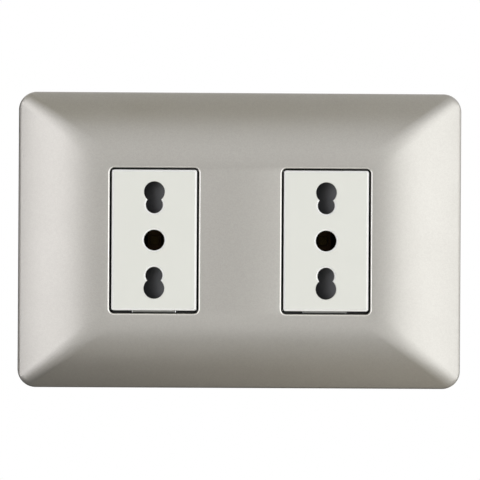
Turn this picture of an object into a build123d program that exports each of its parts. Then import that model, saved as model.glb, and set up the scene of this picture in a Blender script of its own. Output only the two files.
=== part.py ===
from build123d import *
from math import atan, cos, degrees, pi, sin
import os

# Double flush wall socket, in millimetres. X runs right, Z runs up and Y runs into the wall.
# The origin is the middle of the wall plane, so everything in front of the wall has a negative Y.

# Pin pattern: two round-pin pitches share each pole opening, with the earth pin in the middle
PIN_PITCH_16 = 26.0
PIN_PITCH_10 = 19.0
PIN_16 = 5.0
PIN_10 = 4.0
PIN_LENGTH = 19.0
HOLE_16 = 5.6
HOLE_10 = 4.6
HOLE_EARTH = 5.6

# Cover plate
PLATE_WIDTH = 120.0
PLATE_HEIGHT = 80.0
PLATE_RISE = 9.5
PLATE_RIM = 2.4
PLATE_EDGE_DROP = 1.1
PLATE_EDGE_SHARE = 0.17
PLATE_CORNER = 4.2
PLATE_CREASE = 6.0
PLATE_LAND_SIDE = 1.35
PLATE_LAND_TOP = 2.9
PLATE_WALL = 2.0
PLATE_STATIONS = 6
COLLAR_WALL = 1.2
PLATE_RIB = 1.2
PLATE_RIB_DEPTH = 1.9
PLATE_RIB_OUT = 2.6
WINDOW_CORNER = 1.3
WINDOW_EDGE = 0.35
WINDOW_SIDE_GAP = 0.6
WINDOW_TOP_GAP = 0.55
WINDOW_FOOT_GAP = 0.85

# Snap hooks that hold the plate on the frame
HOOK_X = 32.0
HOOK_WIDTH = 6.0
HOOK_WALL = 1.4
HOOK_BARB = 0.8
HOOK_GAP = 0.3
HOOK_LEDGE = 1.2

# Support frame and the two screws into the wall box
BOX_SCREW_PITCH = 83.5
SCREW_THREAD = 3.5
SCREW_NECK = 4.0
SCREW_HEAD = 7.0
SCREW_HEAD_HEIGHT = 2.2
SCREW_HEAD_EDGE = 0.7
SCREW_REACH = 22.0
SCREW_SLOT_PLAY = 0.3
SCREW_SLOT_RUN = 5.0
DRIVE_WIDTH = 0.9
DRIVE_DEPTH = 1.2
FRAME_SIDE_MARGIN = 6.0
FRAME_TOP_MARGIN = 5.5
FRAME_THICK = 2.6
FRAME_CORNER = 3.0
FRAME_RIB = 1.2
FRAME_RIB_RISE = 1.7
FRAME_RIM_INSET = 3.6
RAIL_RISE = 2.4
RAIL_GAP = 0.4
WEB_RIB_STEP = 14.0

# Socket modules
MODULE_PITCH = 46.3
FACE_WIDTH = 22.8
FACE_END = 5.9
FACE_PROUD = 0.3
FACE_WALL = 2.0
FACE_CORNER = 0.8
FACE_EDGE = 0.5
FACE_DRAFT = 0.2
PIN_LEAD = 0.4
SKIRT_WALL = 1.2
SKIRT_REACH = 2.5
FRAME_FIT = 0.1
FLANGE_WALL = 1.0
FLANGE_WIDTH = 1.0
TOP_RIB_STEP = 5.0
TOP_RIB_WIDE = 2.8
TOP_RIB_NARROW = 1.6
TOP_RIB_RISE = 0.45
TOP_RIB_SETBACK = 3.2
LUG_X = 7.5
LUG_WIDTH = 3.0
LUG_RISE = 1.4
LATCH_PLAY = 0.15
TONGUE_WIDTH = 11.5
TONGUE_RISE = 0.55
TONGUE_SETBACK = 2.0
TONGUE_WALL = 1.2
TONGUE_ROOT = 2.6
TONGUE_SLIT = 0.4
TONGUE_PLAY = 0.2
TONGUE_TOOTH = 1.1
TONGUE_FLEX = 0.7

# Shutter slider and its spring
SHUTTER_DEPTH = 4.6
SHUTTER_PLAY = 0.1
SHUTTER_COVER = 0.2
SHUTTER_OVERLAP = 1.0
SHUTTER_THIN = 0.8
SHUTTER_LAND = 1.3
BRIDGE_WIDTH = 1.2
BRIDGE_DEPTH = 2.2
SPRING_RADIUS = 0.85
SPRING_WIRE = 0.3
SPRING_TURNS = 7
SPRING_STEPS = 8
SPRING_OFFSET = 4.9
SPRING_PLAY = 0.05
SPRING_POST = 0.9
SPRING_POST_LENGTH = 1.5
LUG_WALL = 1.2

# Contacts and terminals
STRIP = 0.6
MOUTH_SETBACK = 0.6
MOUTH_WIDTH = 6.8
PINCH_DEPTH = 3.9
PINCH_SQUEEZE = 0.4
HEEL_WIDTH = 5.2
LEAF_MARGIN = 0.2
LEAF_SLIT = 0.4
EARTH_LEAF = 5.2
PIN_TIP_ROOM = 1.4
TENON = 2.4
TENON_PROUD = 0.4
TENON_PLAY = 0.05
BLOCK_WIDTH = 7.0
BLOCK_HEIGHT = 7.2
BLOCK_LENGTH = 9.0
BLOCK_OFFSET = 0.3
WIRE_ROOM = 3.8
WIRE_DEPTH = 6.7
CLAMP_THREAD = 3.4
CLAMP_PLAY = 0.05
CLAMP_PROUD = 1.4
CLAMP_GRIP = 0.6

# Rear housing of a module
SPIGOT_FIT = 0.1
BASE_STEP = 0.4
BASE_WALL = 1.3
BASE_FLOOR = 3.6
BASE_EDGE = 1.0
POCKET_GAP = 0.3
POCKET_WALL = 1.2
POCKET_END = 0.6
CHAMBER_FIT = 0.15
ENTRY_PLAY = 0.1
ACCESS_PLAY = 0.6
CORE_END = 1.3
CORE_RIB = 1.2
CATCH_Z = 10.0
CATCH_WIDTH = 5.0
CATCH_RISE = 0.9
CATCH_LENGTH = 1.6
CATCH_PLAY = 0.3

# Levels along Y, from the front of the modules to the back of the housings
PLATE_FRONT = -PLATE_RISE
PLATE_CEILING = PLATE_FRONT + PLATE_WALL
FRAME_FRONT = -FRAME_THICK
FLANGE_FRONT = FRAME_FRONT - FLANGE_WALL
FACE_FRONT = PLATE_FRONT - FACE_PROUD
FACE_CEILING = FACE_FRONT + FACE_WALL
SHUTTER_FRONT = FACE_CEILING + SHUTTER_PLAY
SHUTTER_BACK = SHUTTER_FRONT + SHUTTER_DEPTH
BASE_FRONT = SHUTTER_BACK + SHUTTER_PLAY
SKIRT_BACK = SKIRT_REACH
MOUTH = BASE_FRONT + MOUTH_SETBACK
WEB_FRONT = FACE_FRONT + PIN_LENGTH + PIN_TIP_ROOM
WEB_BACK = WEB_FRONT + STRIP
BLOCK_BACK = WEB_BACK + BLOCK_LENGTH
CHAMBER_BACK = BLOCK_BACK + CHAMBER_FIT
BASE_BACK = CHAMBER_BACK + BASE_FLOOR
CLAMP_Y = WEB_BACK + BLOCK_LENGTH / 2

# Sizes across, for the modules and the frame
Z_16 = PIN_PITCH_16 / 2
Z_10 = PIN_PITCH_10 / 2
Z_BLOCK = (Z_16 + Z_10) / 2 + BLOCK_OFFSET
FACE_HEIGHT = PIN_PITCH_16 + 2 * FACE_END
FACE_HALF_X = FACE_WIDTH / 2
FACE_HALF_Z = FACE_HEIGHT / 2
INNER_HALF_X = FACE_HALF_X - SKIRT_WALL
INNER_HALF_Z = FACE_HALF_Z - SKIRT_WALL
SPIGOT_HALF_X = INNER_HALF_X - SPIGOT_FIT
SPIGOT_HALF_Z = INNER_HALF_Z - SPIGOT_FIT
BASE_HALF_X = FACE_HALF_X - BASE_STEP
BASE_HALF_Z = FACE_HALF_Z - BASE_STEP
FRAME_WIDTH = PLATE_WIDTH - 2 * FRAME_SIDE_MARGIN
FRAME_HEIGHT = PLATE_HEIGHT - 2 * FRAME_TOP_MARGIN
WINDOW_WIDTH = FACE_WIDTH + 2 * WINDOW_SIDE_GAP
WINDOW_HEIGHT = FACE_HEIGHT + WINDOW_TOP_GAP + WINDOW_FOOT_GAP
WINDOW_Z = (WINDOW_TOP_GAP - WINDOW_FOOT_GAP) / 2
PLATE_FLANK_SIDE = (PLATE_WIDTH - MODULE_PITCH - WINDOW_WIDTH) / 2 - PLATE_LAND_SIDE
PLATE_FLANK_TOP = (PLATE_HEIGHT - WINDOW_HEIGHT) / 2 - PLATE_LAND_TOP
LEAF_LOW = Z_10 - PIN_10 / 2 - LEAF_MARGIN
LEAF_HIGH = Z_16 + PIN_16 / 2 + LEAF_MARGIN
LEAF_SPLIT = (Z_10 + PIN_10 / 2 + Z_16 - PIN_16 / 2) / 2
POCKET_HALF_X = MOUTH_WIDTH / 2 + STRIP + POCKET_GAP
POLE_LOW = LEAF_LOW - POCKET_END
POLE_HIGH = LEAF_HIGH + POCKET_END
SHUTTER_LEFT = -HOLE_16 / 2 - SHUTTER_COVER
BRIDGE_X = HOLE_EARTH / 2 + SHUTTER_COVER
SHUTTER_RIGHT = BRIDGE_X + BRIDGE_WIDTH
SHUTTER_TOP = Z_16 + HOLE_16 / 2 + SHUTTER_OVERLAP
SHUTTER_LOW = Z_10 - HOLE_10 / 2 - SHUTTER_OVERLAP / 2
SPRING_Y = SHUTTER_BACK - SPRING_RADIUS - SPRING_WIRE / 2 - SHUTTER_PLAY
SPRING_START = SHUTTER_LEFT + LUG_WALL + SPRING_PLAY
SPRING_END = INNER_HALF_X - SPRING_PLAY


def slab(outline, front, back):
    """Solid with an outline drawn across the wall, between two levels along Y."""
    return extrude(Plane.XZ.offset(-back) * outline, amount=back - front)


def rectangle(x_from, x_to, z_from, z_to):
    """Rectangle across the wall between two pairs of edges."""
    centre = Pos((x_from + x_to) / 2, (z_from + z_to) / 2)
    return centre * Rectangle(x_to - x_from, z_to - z_from)


def box(x_from, x_to, y_from, y_to, z_from, z_to):
    """Block between three pairs of faces."""
    return slab(rectangle(x_from, x_to, z_from, z_to), y_from, y_to)


def pin_along_x(radius, x_from, x_to, y, z):
    """Round pin or hole that runs along X."""
    pin = Cylinder(radius, x_to - x_from, rotation=(0, 90, 0))
    return Pos((x_from + x_to) / 2, y, z) * pin


def pin_along_z(radius, z_from, z_to, y):
    """Round pin or hole that runs along Z, on the middle line of a module."""
    return Pos(0, y, (z_from + z_to) / 2) * Cylinder(radius, z_to - z_from)


def both_poles(piece):
    """A piece of the upper pole together with its mirror image at the lower pole."""
    return piece + mirror(piece, about=Plane.XY)


def crown_level(share):
    """Height of the pillow surface above the wall at a share of the flank, rounded off at the edge."""
    bow = PLATE_RIM + (PLATE_RISE - PLATE_RIM) * (1 - (1 - share) ** 2)
    edge = max(0, 1 - share / PLATE_EDGE_SHARE)
    return bow - PLATE_EDGE_DROP * edge ** 2


def crown_section(share, drop):
    """Rounded outline of the pillow surface at a share of the flank, some way below it."""
    width = PLATE_WIDTH - 2 * PLATE_FLANK_SIDE * share
    height = PLATE_HEIGHT - 2 * PLATE_FLANK_TOP * share
    corner = PLATE_CORNER + (PLATE_CREASE - PLATE_CORNER) * share
    return Plane.XZ.offset(crown_level(share) - drop) * RectangleRounded(width, height, corner)


def crown(shares, drop):
    """Pillow-shaped block from the wall plane up to the curved front or parallel to it."""
    sections = [crown_section(share, drop) for share in shares]
    upright = extrude(sections[0], amount=drop - crown_level(shares[0]))
    return upright + loft(sections)


def flank_shares(start):
    """Even steps along the flank from a share of it to the flat land."""
    return [start + (1 - start) * step / PLATE_STATIONS for step in range(PLATE_STATIONS + 1)]


def plate_body():
    """Outer pillow with its upright rim and rounded edge."""
    return crown([0, PLATE_EDGE_SHARE / 3, PLATE_EDGE_SHARE * 2 / 3] + flank_shares(PLATE_EDGE_SHARE), 0)


def collar_outline():
    """Outline of the collar round a plate window, in the module's own middle."""
    return Pos(0, WINDOW_Z) * Rectangle(WINDOW_WIDTH + 2 * COLLAR_WALL, WINDOW_HEIGHT + 2 * COLLAR_WALL)


def window_outline():
    """Outline of a plate window, in the module's own middle."""
    return Pos(0, WINDOW_Z) * RectangleRounded(WINDOW_WIDTH, WINDOW_HEIGHT, WINDOW_CORNER)


def plate_hook(x, side):
    """Snap hook at the plate's upper or lower edge, with its barb behind the frame's ledge."""
    inner = FRAME_HEIGHT / 2 + HOOK_GAP
    post = [(inner, PLATE_FRONT), (inner + HOOK_WALL, PLATE_FRONT), (inner + HOOK_WALL, -HOOK_GAP)]
    barb = [
        (inner, -HOOK_GAP),
        (inner - HOOK_BARB - HOOK_GAP, HOOK_LEDGE - FRAME_THICK + HOOK_GAP),
        (inner, HOOK_LEDGE - FRAME_THICK + HOOK_GAP),
    ]
    outline = make_face(Polyline(*[(y, z) for z, y in post + barb], close=True))
    hook = Pos(x - HOOK_WIDTH / 2, 0, 0) * extrude(Plane.YZ * outline, amount=HOOK_WIDTH)
    return hook if side > 0 else mirror(hook, about=Plane.XY)


def cover_plate():
    """Moulded plate: hollow pillow with two collared windows, back ribs and snap hooks."""
    outer = plate_body()
    plate = outer - crown(flank_shares(PLATE_WALL / PLATE_FLANK_TOP), PLATE_WALL)
    rib_end = PLATE_CEILING + PLATE_RIB_DEPTH
    rib_z = WINDOW_HEIGHT / 2 + COLLAR_WALL + PLATE_RIB_OUT
    rib_half = MODULE_PITCH / 2 + WINDOW_WIDTH / 2
    for side in (-1, 1):
        plate += slab(rectangle(-rib_half, rib_half, side * rib_z, side * rib_z + PLATE_RIB),
                      PLATE_FRONT, rib_end) & outer
        for hook_x in (-HOOK_X, HOOK_X):
            plate += plate_hook(hook_x, side) & outer
    windows = []
    for x in (-MODULE_PITCH / 2, MODULE_PITCH / 2):
        collar = slab(Pos(x, 0) * collar_outline(), PLATE_FRONT, FLANGE_FRONT - RAIL_GAP)
        plate += collar & outer
        windows.append(slab(Pos(x, 0) * window_outline(), PLATE_FRONT, 0))
    plate -= windows
    rims = plate.edges().filter_by_position(Axis.Y, PLATE_FRONT, PLATE_FRONT)
    rims = rims.filter_by(lambda edge: abs(edge.center().X) < rib_half + PLATE_LAND_SIDE / 2)
    rims = rims.filter_by(lambda edge: abs(edge.center().Z) < WINDOW_HEIGHT / 2 + PLATE_LAND_TOP / 2)
    return chamfer(rims, WINDOW_EDGE)


def frame_ribs():
    """Raised ribs on the front of the frame: a rim, rails beside the windows and web ribs."""
    half_x = FRAME_WIDTH / 2 - FRAME_RIM_INSET
    half_z = FRAME_HEIGHT / 2 - FRAME_RIM_INSET
    ring = Rectangle(2 * half_x, 2 * half_z)
    ring -= Rectangle(2 * (half_x - FRAME_RIB), 2 * (half_z - FRAME_RIB))
    ribs = slab(ring, FRAME_FRONT - FRAME_RIB_RISE, FRAME_FRONT)
    rail_from = WINDOW_WIDTH / 2 + COLLAR_WALL + RAIL_GAP
    rail_half = FACE_HALF_Z - FACE_CORNER
    for x in (-MODULE_PITCH / 2, MODULE_PITCH / 2):
        for left in (x - rail_from - FRAME_RIB, x + rail_from):
            ribs += box(left, left + FRAME_RIB, FRAME_FRONT - RAIL_RISE, FRAME_FRONT, -rail_half, rail_half)
    web_half = MODULE_PITCH / 2 - rail_from
    for z in (-WEB_RIB_STEP, 0, WEB_RIB_STEP):
        ribs += box(-web_half, web_half, FRAME_FRONT - FRAME_RIB_RISE, FRAME_FRONT,
                    z - FRAME_RIB / 2, z + FRAME_RIB / 2)
    return ribs


def screw_slot(width):
    """Upright slot for a box screw, which lets the frame be set level."""
    return SlotCenterToCenter(SCREW_SLOT_RUN, width, rotation=90)


def support_frame():
    """Moulded yoke with two module windows, screw slots, ribs and ledges for the plate hooks."""
    sheet = slab(RectangleRounded(FRAME_WIDTH, FRAME_HEIGHT, FRAME_CORNER), FRAME_FRONT, 0)
    frame = sheet + frame_ribs()
    head_room = SCREW_HEAD / 2 + RAIL_GAP
    opening = Rectangle(FACE_WIDTH + 2 * FRAME_FIT, FACE_HEIGHT + 2 * FRAME_FIT)
    notch = TONGUE_WIDTH / 2 + TONGUE_PLAY
    notch_low = -FACE_HALF_Z - TONGUE_RISE - TONGUE_PLAY
    opening += rectangle(-notch, notch, notch_low, 0)
    ledge_back = HOOK_LEDGE - FRAME_THICK
    for side in (-1, 1):
        frame -= slab(Pos(side * MODULE_PITCH / 2, 0) * opening, FRAME_FRONT - RAIL_RISE, 0)
        screw_x = side * BOX_SCREW_PITCH / 2
        frame -= slab(Pos(screw_x, 0) * Circle(head_room), FRAME_FRONT - RAIL_RISE, FRAME_FRONT)
        frame -= slab(Pos(screw_x, 0) * screw_slot(SCREW_NECK + 2 * SCREW_SLOT_PLAY), FRAME_FRONT, 0)
        for hook_x in (-HOOK_X, HOOK_X):
            room = HOOK_WIDTH / 2 + HOOK_GAP
            deep = side * (FRAME_HEIGHT / 2 - HOOK_BARB - HOOK_GAP)
            edge = side * FRAME_HEIGHT / 2
            frame -= box(hook_x - room, hook_x + room, ledge_back, 0, min(deep, edge), max(deep, edge))
    return frame


def fixing_screw(x):
    """Pan-head screw into the wall box, with a slotted head."""
    head_front = FRAME_FRONT - SCREW_HEAD_HEIGHT
    head = slab(Circle(SCREW_HEAD / 2), head_front, FRAME_FRONT)
    rim = head.edges().filter_by_position(Axis.Y, head_front, head_front)
    head = chamfer(rim, SCREW_HEAD_EDGE)
    head -= slab(Rectangle(SCREW_HEAD, DRIVE_WIDTH), head_front, head_front + DRIVE_DEPTH)
    neck = slab(Circle(SCREW_NECK / 2), FRAME_FRONT, 0)
    thread = slab(Circle(SCREW_THREAD / 2), 0, SCREW_REACH)
    return Pos(x, 0, 0) * (head + neck + thread)


def fixing_screws():
    """The two screws that hold the frame to the wall box."""
    half = BOX_SCREW_PITCH / 2
    return Compound(children=[fixing_screw(-half), fixing_screw(half)])


def pin_openings():
    """Two keyholes, each for both pin pitches, and the round earth opening."""
    upper = Pos(0, Z_16) * Circle(HOLE_16 / 2) + Pos(0, Z_10) * Circle(HOLE_10 / 2)
    lower = Pos(0, -Z_16) * Circle(HOLE_16 / 2) + Pos(0, -Z_10) * Circle(HOLE_10 / 2)
    return upper + lower + Circle(HOLE_EARTH / 2)


def spring_post(x_from):
    """Square post inside one end of the shutter spring."""
    half = SPRING_POST / 2
    return box(x_from, x_from + SPRING_POST_LENGTH, SPRING_Y - half, SPRING_Y + half,
               SPRING_OFFSET - half, SPRING_OFFSET + half)


def latch_tongue():
    """Spring tongue under the face, with a tooth that snaps in behind the frame."""
    low = -FACE_HALF_Z - TONGUE_RISE
    half = TONGUE_WIDTH / 2
    strip = box(-half, half, FACE_FRONT + TONGUE_SETBACK, SKIRT_BACK - LATCH_PLAY, low, low + TONGUE_WALL)
    tooth = Polyline(
        (LATCH_PLAY, low),
        (LATCH_PLAY, low - TONGUE_TOOTH),
        (LATCH_PLAY + TONGUE_TOOTH / 2, low - TONGUE_TOOTH),
        (SKIRT_BACK - LATCH_PLAY, low),
        close=True,
    )
    return strip + extrude(Plane.YZ * make_face(tooth), amount=half, both=True)


def seating_flange():
    """Flange above and below the face that rests on the frame, open for the tongue."""
    height = FACE_HEIGHT + 2 * FLANGE_WIDTH
    flange = Rectangle(FACE_WIDTH, height) - Rectangle(2 * INNER_HALF_X, 2 * INNER_HALF_Z)
    opening = TONGUE_WIDTH / 2 + TONGUE_SLIT
    flange -= rectangle(-opening, opening, -height / 2, -INNER_HALF_Z)
    return slab(flange, FLANGE_FRONT, FRAME_FRONT)


def top_fixings():
    """Three ribs above the face that centre it in the plate's window, and two lugs behind the frame."""
    top = FACE_HALF_Z
    rib_front = FACE_FRONT + TOP_RIB_SETBACK
    fixings = box(-TOP_RIB_WIDE / 2, TOP_RIB_WIDE / 2, rib_front, FLANGE_FRONT, top, top + TOP_RIB_RISE)
    for side in (-1, 1):
        rib_x = side * TOP_RIB_STEP
        fixings += box(rib_x - TOP_RIB_NARROW / 2, rib_x + TOP_RIB_NARROW / 2, rib_front, FLANGE_FRONT,
                       top, top + TOP_RIB_RISE)
        lug_x = side * LUG_X
        fixings += box(lug_x - LUG_WIDTH / 2, lug_x + LUG_WIDTH / 2, LATCH_PLAY, SKIRT_BACK,
                       top, top + LUG_RISE)
    return fixings


def face_block():
    """Drafted block of the face with broken front edges, and the pin openings with their lead-in."""
    depth = FLANGE_FRONT - FACE_FRONT
    foot = RectangleRounded(FACE_WIDTH + 2 * FACE_DRAFT, FACE_HEIGHT + 2 * FACE_DRAFT, FACE_CORNER)
    draft = degrees(atan(FACE_DRAFT / depth))
    block = extrude(Plane.XZ.offset(-FLANGE_FRONT) * foot, amount=depth, taper=draft)
    block = chamfer(block.edges().filter_by_position(Axis.Y, FACE_FRONT, FACE_FRONT), FACE_EDGE)
    block -= slab(pin_openings(), FACE_FRONT, FLANGE_FRONT)
    mouths = block.edges().filter_by_position(Axis.Y, FACE_FRONT, FACE_FRONT)
    mouths = mouths.filter_by(lambda edge: abs(edge.center().X) < HOLE_16)
    return chamfer(mouths.filter_by(lambda edge: abs(edge.center().Z) < Z_16 + HOLE_16 / 2), PIN_LEAD)


def socket_face():
    """Front moulding of a module: pin openings, skirt, shutter guides, latch tongue and lugs."""
    face = face_block() + slab(Rectangle(FACE_WIDTH, FACE_HEIGHT), FLANGE_FRONT, SKIRT_BACK)
    face -= slab(Rectangle(2 * INNER_HALF_X, 2 * INNER_HALF_Z), FACE_CEILING, SKIRT_BACK)
    guide = box(-INNER_HALF_X, INNER_HALF_X, FACE_CEILING, SHUTTER_BACK - BRIDGE_DEPTH,
                SHUTTER_TOP + SHUTTER_PLAY, INNER_HALF_Z)
    face += both_poles(guide)
    half = TONGUE_WIDTH / 2 + TONGUE_SLIT
    face -= box(-half, half, FACE_FRONT + TONGUE_ROOT + FACE_WALL, SKIRT_BACK, -FACE_HALF_Z, -INNER_HALF_Z)
    face += seating_flange() + top_fixings() + latch_tongue()
    face += spring_post(INNER_HALF_X - SPRING_POST_LENGTH)
    room = CATCH_WIDTH / 2 + CATCH_PLAY
    catch = box(-FACE_HALF_X, FACE_HALF_X, -CATCH_LENGTH / 2 - CATCH_PLAY, CATCH_LENGTH / 2 + CATCH_PLAY,
                CATCH_Z - room, CATCH_Z + room)
    return face - both_poles(catch)


def shutter():
    """Sliding shutter: two ramped pads behind the keyholes, tied by a bridge past the earth pin."""
    ramp = Polyline(
        (SHUTTER_LEFT, SHUTTER_BACK),
        (SHUTTER_RIGHT, SHUTTER_BACK),
        (SHUTTER_RIGHT, SHUTTER_FRONT),
        (SHUTTER_RIGHT - SHUTTER_LAND, SHUTTER_FRONT),
        (SHUTTER_LEFT, SHUTTER_BACK - SHUTTER_THIN),
        close=True,
    )
    pad = Pos(0, 0, SHUTTER_LOW) * extrude(make_face(ramp), amount=SHUTTER_TOP - SHUTTER_LOW)
    bridge = box(BRIDGE_X, SHUTTER_RIGHT, SHUTTER_FRONT, SHUTTER_FRONT + BRIDGE_DEPTH,
                 -SHUTTER_LOW, SHUTTER_LOW)
    lug_front = SPRING_Y - SPRING_RADIUS - SPRING_WIRE / 2
    lug_x = SHUTTER_LEFT + LUG_WALL
    lug = box(SHUTTER_LEFT, lug_x, lug_front, SHUTTER_BACK,
              SPRING_OFFSET - SPRING_RADIUS - SPRING_WIRE, SHUTTER_LOW)
    return both_poles(pad) + bridge + lug + spring_post(lug_x)


def shutter_spring():
    """Return spring between the shutter's lug and the side of the skirt, in short straight lengths."""
    length = SPRING_END - SPRING_START - SPRING_WIRE
    steps = SPRING_TURNS * SPRING_STEPS
    points = []
    for step in range(steps + 1):
        angle = 2 * pi * step / SPRING_STEPS
        x = SPRING_START + SPRING_WIRE / 2 + length * step / steps
        points.append((x, SPRING_Y + SPRING_RADIUS * cos(angle), SPRING_OFFSET + SPRING_RADIUS * sin(angle)))
    path = Polyline(*points)
    wire = Plane(origin=path @ 0, z_dir=path % 0) * Rectangle(SPRING_WIRE, SPRING_WIRE)
    return sweep(wire, path=path, transition=Transition.RIGHT)


def contact_strip(pin, z_from, z_to):
    """Bent spring strip: flared mouth, pinch for a pin, and a web across the heel."""
    pinch = pin / 2 - PINCH_SQUEEZE / 2
    pinch_y = MOUTH + PINCH_DEPTH
    line = Polyline(
        (-MOUTH_WIDTH / 2, MOUTH),
        (-pinch, pinch_y),
        (-HEEL_WIDTH / 2, WEB_FRONT),
        (HEEL_WIDTH / 2, WEB_FRONT),
        (pinch, pinch_y),
        (MOUTH_WIDTH / 2, MOUTH),
    )
    outline = line.wire().offset_2d(STRIP, kind=Kind.INTERSECTION, side=Side.LEFT)
    return Pos(0, 0, z_from) * extrude(make_face(outline), amount=z_to - z_from, dir=(0, 0, 1))


def tenon_hole(z):
    """Square hole in a contact's web for the terminal's tenon."""
    side = TENON + 2 * TENON_PLAY
    return slab(Pos(0, z) * Rectangle(side, side), WEB_FRONT, WEB_BACK)


def pole_contact():
    """Upper pole contact: one strip for each pin pitch on a common web."""
    low = contact_strip(PIN_10, LEAF_LOW, LEAF_SPLIT - LEAF_SLIT / 2)
    high = contact_strip(PIN_16, LEAF_SPLIT + LEAF_SLIT / 2, LEAF_HIGH)
    heel = HEEL_WIDTH / 2
    web = box(-heel, heel, WEB_FRONT, WEB_BACK, LEAF_LOW, LEAF_HIGH)
    return low + high + web - tenon_hole(Z_BLOCK)


def earth_contact():
    """Earth contact in the middle of the module."""
    strip = contact_strip(PIN_10, -EARTH_LEAF / 2, EARTH_LEAF / 2)
    return strip - tenon_hole(0)


def terminal_block(z):
    """Brass terminal with a square wire chamber from the back and a tenon staked in the contact's web."""
    block = slab(Pos(0, z) * Rectangle(BLOCK_WIDTH, BLOCK_HEIGHT), WEB_BACK, BLOCK_BACK)
    block -= slab(Pos(0, z) * Rectangle(WIRE_ROOM, WIRE_ROOM), BLOCK_BACK - WIRE_DEPTH, BLOCK_BACK)
    return block + slab(Pos(0, z) * Rectangle(TENON, TENON), WEB_FRONT - TENON_PROUD, WEB_BACK)


def pole_terminal():
    """Terminal of the upper pole, clamped by a screw from above."""
    hole = pin_along_z(CLAMP_THREAD / 2 + CLAMP_PLAY, Z_BLOCK, Z_BLOCK + BLOCK_HEIGHT / 2, CLAMP_Y)
    return terminal_block(Z_BLOCK) - hole


def earth_terminal():
    """Terminal of the earth contact, clamped by a screw from the left side."""
    hole = pin_along_x(CLAMP_THREAD / 2 + CLAMP_PLAY, -BLOCK_WIDTH / 2, 0, CLAMP_Y, 0)
    return terminal_block(0) - hole


def clamp_screw(seat):
    """Headless clamping screw along +Z, its tip in the wire chamber and its end above the block."""
    return pin_along_z(CLAMP_THREAD / 2, seat - BLOCK_HEIGHT / 2 + CLAMP_GRIP, seat + CLAMP_PROUD, 0)


def terminal_screws():
    """The three clamping screws of a module."""
    upper = Pos(0, CLAMP_Y, Z_BLOCK) * clamp_screw(BLOCK_HEIGHT / 2)
    lower = mirror(upper, about=Plane.XY)
    earth = Pos(0, CLAMP_Y, 0) * Rot(0, -90, 0) * clamp_screw(BLOCK_WIDTH / 2)
    return Compound(children=[upper, lower, earth])


def side_cores():
    """Moulding cores beside the contact pockets, parted by ribs level with the pole partitions."""
    left = POCKET_HALF_X + POCKET_WALL
    right = BASE_HALF_X - BASE_WALL
    rib = (POLE_LOW + EARTH_LEAF / 2 + POCKET_END) / 2
    top = BASE_HALF_Z - BASE_WALL - CORE_END
    core = box(left, right, BASE_FRONT, BLOCK_BACK, rib + CORE_RIB / 2, top)
    middle = rib - CORE_RIB / 2
    cores = both_poles(core) + box(left, right, BASE_FRONT, BLOCK_BACK, -middle, middle)
    return cores + mirror(cores, about=Plane.YZ)


def contact_pocket(z_from, z_to, z_block):
    """Pocket for a contact, the chamber of its terminal behind it, and the wire entry."""
    pocket = box(-POCKET_HALF_X, POCKET_HALF_X, BASE_FRONT, WEB_BACK + TENON_PLAY, z_from, z_to)
    half_x = BLOCK_WIDTH / 2 + CHAMBER_FIT
    half_z = BLOCK_HEIGHT / 2 + CHAMBER_FIT
    chamber = box(-half_x, half_x, WEB_BACK, CHAMBER_BACK, z_block - half_z, z_block + half_z)
    entry = WIRE_ROOM / 2 + ENTRY_PLAY
    bore = slab(Pos(0, z_block) * Circle(entry), CHAMBER_BACK, BASE_BACK)
    return pocket + chamber + bore


def base_catches():
    """Snap teeth on the spigot's sides that click into the skirt's openings."""
    half = CATCH_WIDTH / 2
    tooth = Polyline(
        (SPIGOT_HALF_X, -CATCH_LENGTH / 2),
        (SPIGOT_HALF_X + CATCH_RISE, CATCH_LENGTH / 2),
        (SPIGOT_HALF_X, CATCH_LENGTH / 2),
        close=True,
    )
    wedge = Pos(0, 0, CATCH_Z - half) * extrude(make_face(tooth), amount=CATCH_WIDTH)
    wedge += mirror(wedge, about=Plane.YZ)
    return both_poles(wedge)


def socket_base():
    """Rear housing of a module: spigot in the skirt, contact pockets, terminal chambers, entries."""
    body = slab(Rectangle(2 * BASE_HALF_X, 2 * BASE_HALF_Z), SKIRT_BACK, BASE_BACK)
    body = chamfer(body.edges().filter_by(Axis.Y), BASE_EDGE)
    base = chamfer(body.edges().filter_by_position(Axis.Y, BASE_BACK, BASE_BACK), BASE_EDGE)
    base += slab(Rectangle(2 * SPIGOT_HALF_X, 2 * SPIGOT_HALF_Z), BASE_FRONT, SKIRT_BACK) + base_catches()
    base -= both_poles(contact_pocket(POLE_LOW, POLE_HIGH, Z_BLOCK))
    earth_half = EARTH_LEAF / 2 + POCKET_END
    base -= contact_pocket(-earth_half, earth_half, 0)
    base -= side_cores()
    access = CLAMP_THREAD / 2 + ACCESS_PLAY
    base -= both_poles(pin_along_z(access, Z_BLOCK + BLOCK_HEIGHT / 2, BASE_HALF_Z, CLAMP_Y))
    base -= pin_along_x(access, -BASE_HALF_X, -BLOCK_WIDTH / 2, CLAMP_Y, 0)
    relief = TONGUE_WIDTH / 2 + TONGUE_SLIT
    return base - box(-relief, relief, BASE_FRONT, SKIRT_BACK, -SPIGOT_HALF_Z, TONGUE_FLEX - SPIGOT_HALF_Z)


def module_pieces():
    """Every piece of one socket module, in the module's own middle."""
    return {
        "face": socket_face(),
        "base": socket_base(),
        "shutter": shutter(),
        "shutter_spring": shutter_spring(),
        "upper_contact": pole_contact(),
        "lower_contact": mirror(pole_contact(), about=Plane.XY),
        "earth_contact": earth_contact(),
        "upper_terminal": pole_terminal(),
        "lower_terminal": mirror(pole_terminal(), about=Plane.XY),
        "earth_terminal": earth_terminal(),
        "terminal_screws": terminal_screws(),
    }


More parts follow.
